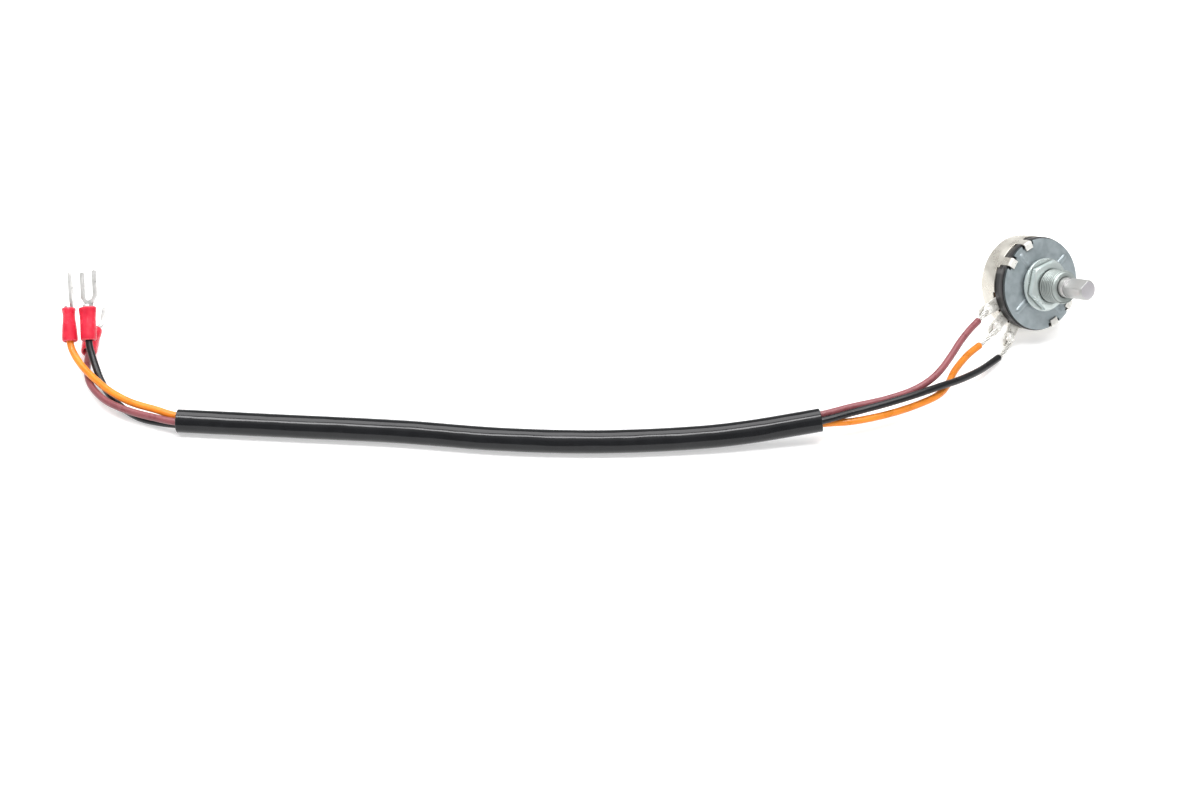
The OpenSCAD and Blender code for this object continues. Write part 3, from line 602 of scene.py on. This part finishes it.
def thread_tree():
    """A screw thread: a ridge with a pointed section, swept along a helix round the given core."""
    tree, given = new_tree("screw thread", ["Radius", "Depth", "Turns", "Length", "Start"])
    middle = add(tree, "ShaderNodeMath", {
        0: given["Radius"], 1: given["Depth"]}, operation="SUBTRACT")
    helix = add(tree, "GeometryNodeCurveSpiral", {
        "Resolution": 48, "Rotations": given["Turns"], "Start Radius": middle.outputs[0],
        "End Radius": middle.outputs[0], "Height": given["Length"]})
    ridge = add(tree, "GeometryNodeCurvePrimitiveCircle", {
        "Resolution": 4, "Radius": given["Depth"]})
    swept = add(tree, "GeometryNodeCurveToMesh", {
        "Curve": helix.outputs[0], "Profile Curve": ridge.outputs[0], "Fill Caps": True})
    lift = add(tree, "ShaderNodeCombineXYZ", {"Z": given["Start"]})
    placed = add(tree, "GeometryNodeTransform", {
        "Geometry": swept.outputs[0], "Translation": lift.outputs[0]})
    joined = add(tree, "GeometryNodeJoinGeometry", {"Geometry": given["Geometry"]})
    tree.links.new(placed.outputs[0], joined.inputs[0])
    close_tree(tree, joined.outputs[0], given["Material"])
    return tree


def strand_tree():
    """A stranded conductor: six strands round one, twisted along each curve, loose at its middle."""
    tree, given = new_tree("strands", ["Strand radius", "Ring radius", "Twist", "Looseness"])
    strand = add(tree, "GeometryNodeCurvePrimitiveCircle", {
        "Resolution": 8, "Radius": given["Strand radius"]})
    ring = add(tree, "GeometryNodeCurvePrimitiveCircle", {
        "Resolution": 6, "Radius": given["Ring radius"]})
    around = add(tree, "GeometryNodeInstanceOnPoints", {
        "Points": ring.outputs[0], "Instance": strand.outputs[0]})
    section = add(tree, "GeometryNodeJoinGeometry", {"Geometry": strand.outputs[0]})
    tree.links.new(around.outputs[0], section.inputs[0])
    real = add(tree, "GeometryNodeRealizeInstances", {"Geometry": section.outputs[0]})
    far = add(tree, "GeometryNodeSplineParameter")
    tilt = add(tree, "ShaderNodeMath", {
        0: far.outputs["Length"], 1: given["Twist"]}, operation="MULTIPLY")
    twisted = add(tree, "GeometryNodeSetCurveTilt", {
        "Curve": given["Geometry"], "Tilt": tilt.outputs[0]})
    half_turn = add(tree, "ShaderNodeMath", {
        0: far.outputs["Factor"], 1: math.pi}, operation="MULTIPLY")
    swing = add(tree, "ShaderNodeMath", {0: half_turn.outputs[0]}, operation="SINE")
    width = add(tree, "ShaderNodeMath", {
        0: swing.outputs[0], 1: given["Looseness"], 2: 1.0}, operation="MULTIPLY_ADD")
    loosened = add(tree, "GeometryNodeSetCurveRadius", {
        "Curve": twisted.outputs[0], "Radius": width.outputs[0]})
    swept = add(tree, "GeometryNodeCurveToMesh", {
        "Curve": loosened.outputs[0], "Profile Curve": real.outputs[0], "Fill Caps": True})
    close_tree(tree, swept.outputs[0], given["Material"])
    return tree


# The shaft's own frame: +Z along the shaft, origin in the front plate's face
joint = frame["joints"][0]
shaft_way = Vector(joint["axis"])
shaft_place = Matrix.Translation(joint["pos_m"])
shaft_place = shaft_place @ shaft_way.to_track_quat("Z", "Y").to_matrix().to_4x4()

# The same place turned as the can is, so that the lugs' angles hold
seat = Matrix.Translation(joint["pos_m"])
seat = seat @ Matrix.Rotation(math.atan2(shaft_way.x, shaft_way.z), 4, "Y")
seat = seat @ Matrix.Rotation(math.radians(BODY_TURN), 4, "Z")

place_camera()

# Each corner colour below is the painted shade in that material's hollows and gaps
# Tinned drawn sheet steel: warm and bright with soft reflections, paler and less metallic on its front
# tabs
tinned_steel = plated_sheet(
    "tinned sheet steel", "#F4F0E6", "#E2DDD2", 0.3, 4, 0.25, 0.12, metal=0.7, corner_shade="#77736B",
    above=(-0.2, "#FBF9F3"))
# Zinc-plated steel: cool blue-grey with a satin grain, painted darker at its cut edge, as shade
zinc_steel = plated_sheet(
    "zinc-plated steel", "#AEB8BC", "#9CA7AB", 0.42, 2.5, 0.2, 0.25, metal=0.45, corner_shade="#555D60",
    rim_shade="#4E5557")
# Bright zinc plating on small turned pieces: paler and glossier
bright_zinc = plated_sheet(
    "bright zinc plating", "#DEE8E6", "#D6E0DE", 0.24, 3, 0.1, 0.05, metal=0.55, corner_shade="#6F7876",
    reach_mm=1)
# Hot-tinned brass lug: pale, uneven and a little rippled
hot_tin = plated_sheet(
    "hot-tinned brass", "#F8F6F0", "#E0DDD4", 0.32, 1, 0.4, 0.6, metal=0.4, corner_shade="#8C8A83",
    reach_mm=0.5)
# Soft solder: bright, smooth and rippled where it set
soft_solder = plated_sheet(
    "soft solder", "#FFFEFA", "#F1EFE8", 0.28, 0.9, 0.5, 0.8, metal=0.3, corner_shade="#A5A39B",
    reach_mm=0.4)
# Tinned copper strands, pale and glossy, with painted shade between them
strand_tin = plated_sheet(
    "tinned copper strands", "#FDFCF8", "#ECEAE3", 0.25, 1, 0.3, 0.2, metal=0.4, corner_shade="#4A4640",
    reach_mm=0.35)
# Tin-plated copper of the forks: even, pale and soft
tinned_copper = plated_sheet(
    "tin-plated copper", "#E6E6E4", "#D3D3D0", 0.36, 2, 0.15, 0.2, metal=0.5)
# Stamped brass inside the can
stamped_brass = plated_sheet("stamped brass", "#D9B968", "#C2A050", 0.3, 2, 0.2, 0.15)
# Free-cutting steel, turned: fine rings, its faced end painted paler, as light
shaft_steel = turned_steel("turned steel", "#D0D0CE", "#BCBCBA", 0.12, 0.34, tip_light="#DAD7DB")
# Zinc plating on the turned bushing
bushing_zinc = turned_steel("zinc-plated turned brass", "#C0C8C5", "#ABB4B1", 0.2, 0.42)
# Phenolic moulding powder: almost black, dull, with a faint fleck and a painted highlight on its edges
phenolic = moulded("phenolic moulding", "#2C2B2C", "#1F1E1F", 0.42, 0.5, 0.25, edge="#565454")
# Pressed phenolic card: brown and dull
pressed_card = moulded("pressed phenolic card", "#73502F", "#5F4126", 0.6, 0.4, 0.3)
# Carbon film: black and dull
carbon_film = moulded("carbon film", "#242426", "#19191B", 0.7, 0.3, 0.2)
# Flexible vinyl of insulators: saturated red, glossy, light enters it a little; painted highlight on
# edges
red_vinyl = moulded(
    "red vinyl", "#EC3A50", "#D6223C", 0.26, 0.8, 0.1, translucence=0.2, edge="#FF6A78")
# Heat-shrunk polyolefin: black, glossy, with long soft ripples
shrunk_sleeve = extruded("heat-shrunk polyolefin", "#17181B", "#111215", 0.13, 30, 0.22, swell=0.3)

# Cords first: the sleeve and the three leads
sleeve_path = smooth([Vector(p) * MM for p in SLEEVE_ROUTE], 2 * MM)
sleeve = tube("sleeve", sleeve_path, sleeve_profile(sleeve_path), 48, shrunk_sleeve)
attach(sleeve, "housing")
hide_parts("cable_sleeve")

# An insulator's outline: the share of its length, then half its width and half its height there
INSULATOR_SHAPE = [
    (0, 2.2, 2.05), (0.08, 2.35, 2.3), (0.3, 2.45, 2.2), (0.5, 2.5, 2.05), (0.65, 2.6, 1.85),
    (0.8, 2.8, 1.8), (0.92, 2.9, 1.95), (1, 2.85, 2.05),
]
INSULATOR_SIDES = 40
# Its funnel for the wire: depth and radius. Its cut ends' middle rings lie this far in
FUNNEL = [(0.1, 1.75), (0.9, 1.45), (2.6, 1.12), (3.9, 1.1)]
END_RING = 0.07


def insulator(lead):
    """A red insulator: an oval tube pinched by the crimp, with rounded ends and a funnel."""
    outer = smooth([Vector(s) for s in INSULATOR_SHAPE], 0.04)
    first, last = outer[0], outer[-1]
    edge = INSULATOR_EDGE
    middle = EDGE_MIDDLE * edge
    share = edge / INSULATOR_LEN
    bore = BARREL_D / 2 + 0.01
    rings = [(first.y - edge, first.z - edge, 0), (first.y - middle, first.z - middle, END_RING)]
    rings += [(r.y, r.z, r.x * INSULATOR_LEN) for r in outer if share < r.x < 1 - share]
    rings += [
        (last.y - middle, last.z - middle, INSULATOR_LEN - END_RING),
        (last.y - edge, last.z - edge, INSULATOR_LEN), (bore, bore, INSULATOR_LEN),
        (bore, bore, FUNNEL[-1][0]),
    ]
    rings += [(r, r, z) for z, r in reversed(FUNNEL)]
    bm = bmesh.new()
    loops = []
    for a, b, z in rings:
        loops.append([
            bm.verts.new(Vector((a * math.cos(t), b * math.sin(t), z)) * MM)
            for t in (2 * math.pi * k / INSULATOR_SIDES for k in range(INSULATOR_SIDES))
        ])
    for low, high in zip(loops, loops[1:] + loops[:1]):
        for k in range(INSULATOR_SIDES):
            j = (k + 1) % INSULATOR_SIDES
            bm.faces.new((low[k], low[j], high[j], high[k]))
    mesh = finish_mesh(bm, "insulator", sharp=60)
    mesh.transform(terminal_matrix(lead))
    piece = new_piece("insulator_of_" + lead, mesh, red_vinyl)
    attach(piece, "housing")
    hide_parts("insulator_" + lead)
    return piece


def fork(lead):
    """A fork terminal, its stamped edges a little rounded."""
    piece = softened("fork_" + lead, "fork_of_" + lead, 0.12, tinned_copper)
    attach(piece, "housing")
    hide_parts("fork_" + lead)
    return piece


def shade_of(code, share):
    """The same colour, darker by a share, as sRGB hex."""
    return "#" + "".join("%02X" % round(int(code[i:i + 2], 16) * (1 - share)) for i in (1, 3, 5))


for lead, data in LEADS.items():
    # Extruded flexible vinyl: satin, with faint lines from the die
    vinyl = extruded(lead + " vinyl", data["colour"], shade_of(data["colour"], 0.09), 0.3, 12, 0.3)
    path = smooth(lead_path(lead), 0.7 * MM)
    wire = tube(lead + "_lead", path, wire_profile(path), 24, vinyl)
    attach(wire, "housing")
    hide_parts(lead + "_wire")
    on_it = [insulator(lead), fork(lead)] + ([sleeve] if lead == "maroon" else [])

# Pieces that keep their solids' shape with rounded edges: name, rounding in millimetres, material
# and slot
SOFTENED = {
    "back_can": ("can", 0.12, tinned_steel, "can_tin"),
    "front_plate": ("plate", 0.12, zinc_steel, "zinc_plate"),
    "washer": ("flat_washer", 0.1, bright_zinc, "bright_zinc"),
    "hex_nut": ("nut", 0.15, bright_zinc, "bright_zinc"),
    "phenolic_base": ("base", 0.08, phenolic, "phenolic"),
    "lug_maroon": ("lug_of_maroon", 0.1, hot_tin, "lug_tin"),
    "lug_orange": ("lug_of_orange", 0.1, hot_tin, "lug_tin"),
    "lug_black": ("lug_of_black", 0.1, hot_tin, "lug_tin"),
}
for node, (name, width, material, slot) in SOFTENED.items():
    piece = softened(node, name, width, material)
    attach(piece, "housing")
    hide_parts(node)

turned_shaft = softened("shaft", "turned_shaft", 0.12, shaft_steel)
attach(turned_shaft, "rotor")
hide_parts("shaft")


def threaded_bushing():
    """The bushing with its thread: a lathed core and the ridge that the tree winds round it."""
    depth = THREAD_PITCH / 2
    core = THREAD_R - depth
    thread_end = BUSHING_LEN - THREAD_CHAMFER
    profile = [
        (BUSHING_BORE_R, FLANGE_BACK), (FLANGE_R, FLANGE_BACK), (FLANGE_R, PLATE_BACK),
        (THREAD_R, PLATE_BACK), (THREAD_R, NUT_START), (core, NUT_START),
        (core, thread_end), (core - THREAD_CHAMFER, BUSHING_LEN),
        (BUSHING_BORE_R + BORE_CHAMFER, BUSHING_LEN), (BUSHING_BORE_R, BUSHING_LEN - BORE_CHAMFER),
    ]
    bm = bmesh.new()
    verts = [bm.verts.new((r * MM, 0, z * MM)) for r, z in profile]
    edges = [bm.edges.new((a, b)) for a, b in zip(verts, verts[1:] + verts[:1])]
    bmesh.ops.spin(
        bm, geom=verts + edges, cent=(0, 0, 0), axis=(0, 0, 1), angle=2 * math.pi, steps=96,
        use_merge=True)
    bmesh.ops.remove_doubles(bm, verts=bm.verts, dist=1e-6)
    piece = new_piece("threaded_bushing", finish_mesh(bm, "bushing"), bushing_zinc)
    length = thread_end - THREAD_START
    use_tree(piece, thread_tree(), {
        "Radius": THREAD_R * MM, "Depth": depth * MM, "Turns": length / THREAD_PITCH,
        "Length": length * MM, "Start": THREAD_START * MM, "Material": bushing_zinc,
    })
    piece.data.transform(shaft_place)
    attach(piece, "housing")
    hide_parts("bushing")


threaded_bushing()

# Conductors and solder
def on_lug(lead, reach, height):
    """A point by a lug, from its distance to the shaft's axis and its height on the shaft."""
    angle = math.radians(LUG_ANGLES[lead])
    return seat @ Vector((reach * math.cos(angle) * MM, reach * math.sin(angle) * MM, height * MM))


def conductor(lead, tree):
    """Tinned strands: over the lug, through its eyelet and back beneath it, and in the crimp."""
    start = Vector(LEADS[lead]["from_lug"][0]) * MM
    ahead = (Vector(LEADS[lead]["from_lug"][1]) * MM - start).normalized()
    over = LUG_FRONT + CONDUCTOR_D / 2 + STRAND_GAP
    under = LUG_BACK - CONDUCTOR_D / 2 - STRAND_GAP
    hook = smooth([
        start, start - ahead * STRAND_BARE * MM, on_lug(lead, EYELET_AT + STRAND_REACH, over + 0.15),
        on_lug(lead, EYELET_AT + 1, over), on_lug(lead, EYELET_AT, (over + under) / 2),
        on_lug(lead, EYELET_AT, under), on_lug(lead, EYELET_AT + STRAND_REACH, under),
    ], 0.3 * MM)
    terminal = terminal_matrix(lead)
    crimped = [terminal @ Vector((0, 0, z * MM)) for z in (WIRE_DEPTH, 6.5, BARREL_FLOOR - STRAND_GAP)]
    curve = bpy.data.curves.new(lead + " strands", "CURVE")
    curve.dimensions = "3D"
    for points in (hook, crimped):
        spline = curve.splines.new("POLY")
        spline.points.add(len(points) - 1)
        for point, place in zip(spline.points, points):
            point.co = (*place, 1)
    piece = use_tree(new_piece(lead + "_strands", curve), tree, {
        "Strand radius": STRAND_R * MM, "Ring radius": STRAND_RING_R * MM, "Twist": STRAND_TWIST,
        "Looseness": STRAND_LOOSENESS, "Material": strand_tin})
    for face in piece.data.polygons:
        face.use_smooth = True
    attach(piece, "housing")
    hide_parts(lead + "_conductor")


def ripple(point, size, height):
    """How high a ripple of that size stands at a point, in the unit of its height."""
    return height * noise.noise(point / (size * MM))


def solder():
    """Solder as it set on the three lugs: each bead runs out unevenly and wets the strands."""
    beads = bmesh.new()
    beads.from_mesh(frame["nodes"]["solder_joints"].data)
    mesh = bpy.data.meshes.new("solder")
    beads.to_mesh(mesh)
    beads.free()
    piece = new_piece("solder_beads", mesh)
    even = piece.modifiers.new("even mesh", "REMESH")
    even.mode = "VOXEL"
    even.voxel_size = SOLDER_MESH * MM
    baked(piece)
    beads = bmesh.new()
    beads.from_mesh(piece.data)
    beads.normal_update()
    moves = [
        v.normal * MM * (
            SOLDER_SWELL + ripple(v.co, WAVE_SIZE, WAVE_HEIGHT) + ripple(v.co, GRAIN_SIZE, GRAIN_HEIGHT))
        for v in beads.verts
    ]
    for vert, move in zip(beads.verts, moves):
        vert.co += move
    for _ in range(3):
        bmesh.ops.smooth_vert(
            beads, verts=beads.verts, factor=0.5, use_axis_x=True, use_axis_y=True, use_axis_z=True)
    piece.data = finish_mesh(beads, "solder", sharp=180)
    piece.data.materials.append(soft_solder)
    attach(piece, "housing")
    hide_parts("solder_joints")


strands = strand_tree()
for lead in LEADS:
    conductor(lead, strands)
solder()

# Pieces inside the can keep their solids
PLAIN = {
    "track_card": pressed_card, "resistance_track": carbon_film, "collector_ring": stamped_brass,
    "lug_rivets": stamped_brass, "retaining_ring": bright_zinc, "wiper_carrier": phenolic,
    "wiper_spring": stamped_brass, "wiper_brushes": carbon_film,
}
for node, material in PLAIN.items():
    mesh = frame["nodes"][node].data
    mesh.materials.clear()
    mesh.materials.append(material)


# Floor and light
def ray_kinds(tree):
    rays = add(tree, "ShaderNodeLightPath")
    return rays.outputs["Is Camera Ray"], rays.outputs["Is Glossy Ray"]


def times(tree, a, b, kind="MULTIPLY"):
    return add(tree, "ShaderNodeMath", {0: a, 1: b}, operation=kind).outputs[0]


def white_floor():
    """A white sweep: it lights the object from below, keeps its soft shadow and fades far away."""
    bm = bmesh.new()
    bmesh.ops.create_grid(bm, x_segments=1, y_segments=1, size=FLOOR_HALF)
    mesh = bpy.data.meshes.new("floor")
    bm.to_mesh(mesh)
    bm.free()
    material, tree = new_material("white paper")
    seen, mirrored = ray_kinds(tree)
    where = add(tree, "ShaderNodeTexCoord").outputs["Object"]
    away = add(tree, "ShaderNodeVectorMath", {0: where, 1: FLOOR_MIDDLE}, operation="DISTANCE")
    paper = add(tree, "ShaderNodeBsdfDiffuse", {"Color": (PAPER, PAPER, PAPER, 1)})
    glow = add(tree, "ShaderNodeEmission", {
        "Color": (1, 1, 1, 1), "Strength": times(tree, seen, FLOOR_GLOW)})
    lit = add(tree, "ShaderNodeAddShader", {0: paper.outputs[0], 1: glow.outputs[0]})
    mirror = add(tree, "ShaderNodeEmission", {
        "Color": (1, 1, 1, 1),
        "Strength": spread(tree, away.outputs["Value"], 0.35, 0.6, *FLOOR_MIRRORED)})
    mixed = add(tree, "ShaderNodeMixShader", {0: mirrored, 1: lit.outputs[0], 2: mirror.outputs[0]})
    put_out(tree, mixed.outputs[0])
    floor = new_piece("floor", mesh, material)
    floor.location.z = -FLOOR_DROP


def softbox(name, near, far, length, height, radiance, mirrored):
    """A lamp that shines down, from near to far along the camera's own direction."""
    reach = abs(near - far)
    data = bpy.data.lights.new(name, "AREA")
    data.shape = "RECTANGLE"
    data.size, data.size_y = reach, length
    data.energy = radiance * math.pi * reach * length
    lamp = bpy.data.objects.new(name, data)
    scene.collection.objects.link(lamp)
    towards = Vector((math.sin(VIEW_TURN), -math.cos(VIEW_TURN), 0))
    lamp.location = LAMP_MIDDLE + towards * (near + far) / 2 + Vector((0, 0, height))
    lamp.rotation_euler = (0, 0, VIEW_TURN - math.pi / 2)
    lamp.visible_glossy = mirrored


def studio():
    """White behind everything, an even fill, and in reflections a dim room with a paler ceiling."""
    world = bpy.data.worlds.new("studio")
    scene.world = world
    world.use_nodes = True
    tree = world.node_tree
    tree.nodes.clear()
    seen, mirrored = ray_kinds(tree)
    way = add(tree, "ShaderNodeTexCoord").outputs["Generated"]
    rise = add(tree, "ShaderNodeSeparateXYZ", {"Vector": way}).outputs["Z"]
    walls = spread(tree, rise, 0.68, 0.86, ROOM_DIM, ROOM_PALE)
    ceiling = spread(tree, rise, 0.86, 1.0, 0, CEILING)
    room = times(tree, walls, ceiling, "ADD")
    level = add(tree, "ShaderNodeMix", {0: mirrored, 2: WORLD_FILL, 3: room}).outputs[0]
    level = add(tree, "ShaderNodeMix", {0: seen, 2: level, 3: 1.0}).outputs[0]
    sky = add(tree, "ShaderNodeBackground", {"Color": (1, 1, 1, 1), "Strength": level})
    add(tree, "ShaderNodeOutputWorld", {"Surface": sky.outputs[0]})


white_floor()
for name, lamp in LAMPS.items():
    softbox(name, *lamp)
studio()

scene.view_settings.view_transform = "Standard"
